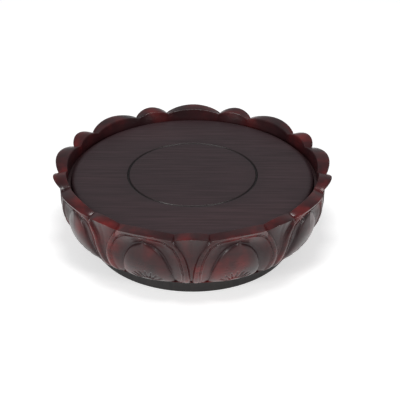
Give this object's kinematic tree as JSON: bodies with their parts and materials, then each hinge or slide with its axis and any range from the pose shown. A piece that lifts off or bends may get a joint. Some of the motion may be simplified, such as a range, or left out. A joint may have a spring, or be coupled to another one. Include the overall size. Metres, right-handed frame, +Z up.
{
  "type": "round wooden vase stand",
  "caption": "Round carved hardwood vase stand: a ring of lotus petals with a scalloped rim around a flat turned panel, on a plain recessed foot.",
  "frame": {"origin": "on the floor under the centre of the stand", "axes": "+Z up along the axis of the round stand, -Y towards the front of the picture"},
  "size_m": [0.198, 0.2, 0.0601],
  "materials": {
    "carved_wood": "polished dark red lacquered hardwood",
    "panel_wood": "satin dark brown hardwood",
    "foot_wood": "satin near-black hardwood",
    "hidden_wood": "bare hardwood",
    "screw_brass": "dull"
  },
  "bodies": {
    "root": {"petal_segment_1": "carved_wood", "ring_spline_1": "hidden_wood", "foot_felloe_1": "foot_wood", "foot_dowel_1": "hidden_wood", "petal_segment_2": "carved_wood", "ring_spline_2": "hidden_wood", "foot_felloe_2": "foot_wood", "foot_dowel_2": "hidden_wood", "petal_segment_3": "carved_wood", "ring_spline_3": "hidden_wood", "foot_felloe_3": "foot_wood", "foot_dowel_3": "hidden_wood", "petal_segment_4": "carved_wood", "ring_spline_4": "hidden_wood", "foot_felloe_4": "foot_wood", "foot_dowel_4": "hidden_wood", "petal_segment_5": "carved_wood", "ring_spline_5": "hidden_wood", "foot_felloe_5": "foot_wood", "foot_dowel_5": "hidden_wood", "petal_segment_6": "carved_wood", "ring_spline_6": "hidden_wood", "foot_felloe_6": "foot_wood", "foot_dowel_6": "hidden_wood", "petal_segment_7": "carved_wood", "ring_spline_7": "hidden_wood", "foot_felloe_7": "foot_wood", "foot_dowel_7": "hidden_wood", "petal_segment_8": "carved_wood", "ring_spline_8": "hidden_wood", "foot_felloe_8": "foot_wood", "foot_dowel_8": "hidden_wood", "petal_segment_9": "carved_wood", "ring_spline_9": "hidden_wood", "foot_felloe_9": "foot_wood", "foot_dowel_9": "hidden_wood", "top_panel": "panel_wood", "panel_batten_1": "hidden_wood", "panel_batten_2": "hidden_wood", "batten_screw_1": "screw_brass", "batten_screw_2": "screw_brass", "batten_screw_3": "screw_brass", "batten_screw_4": "screw_brass", "batten_screw_5": "screw_brass", "batten_screw_6": "screw_brass"}
  },
  "joints": []
}
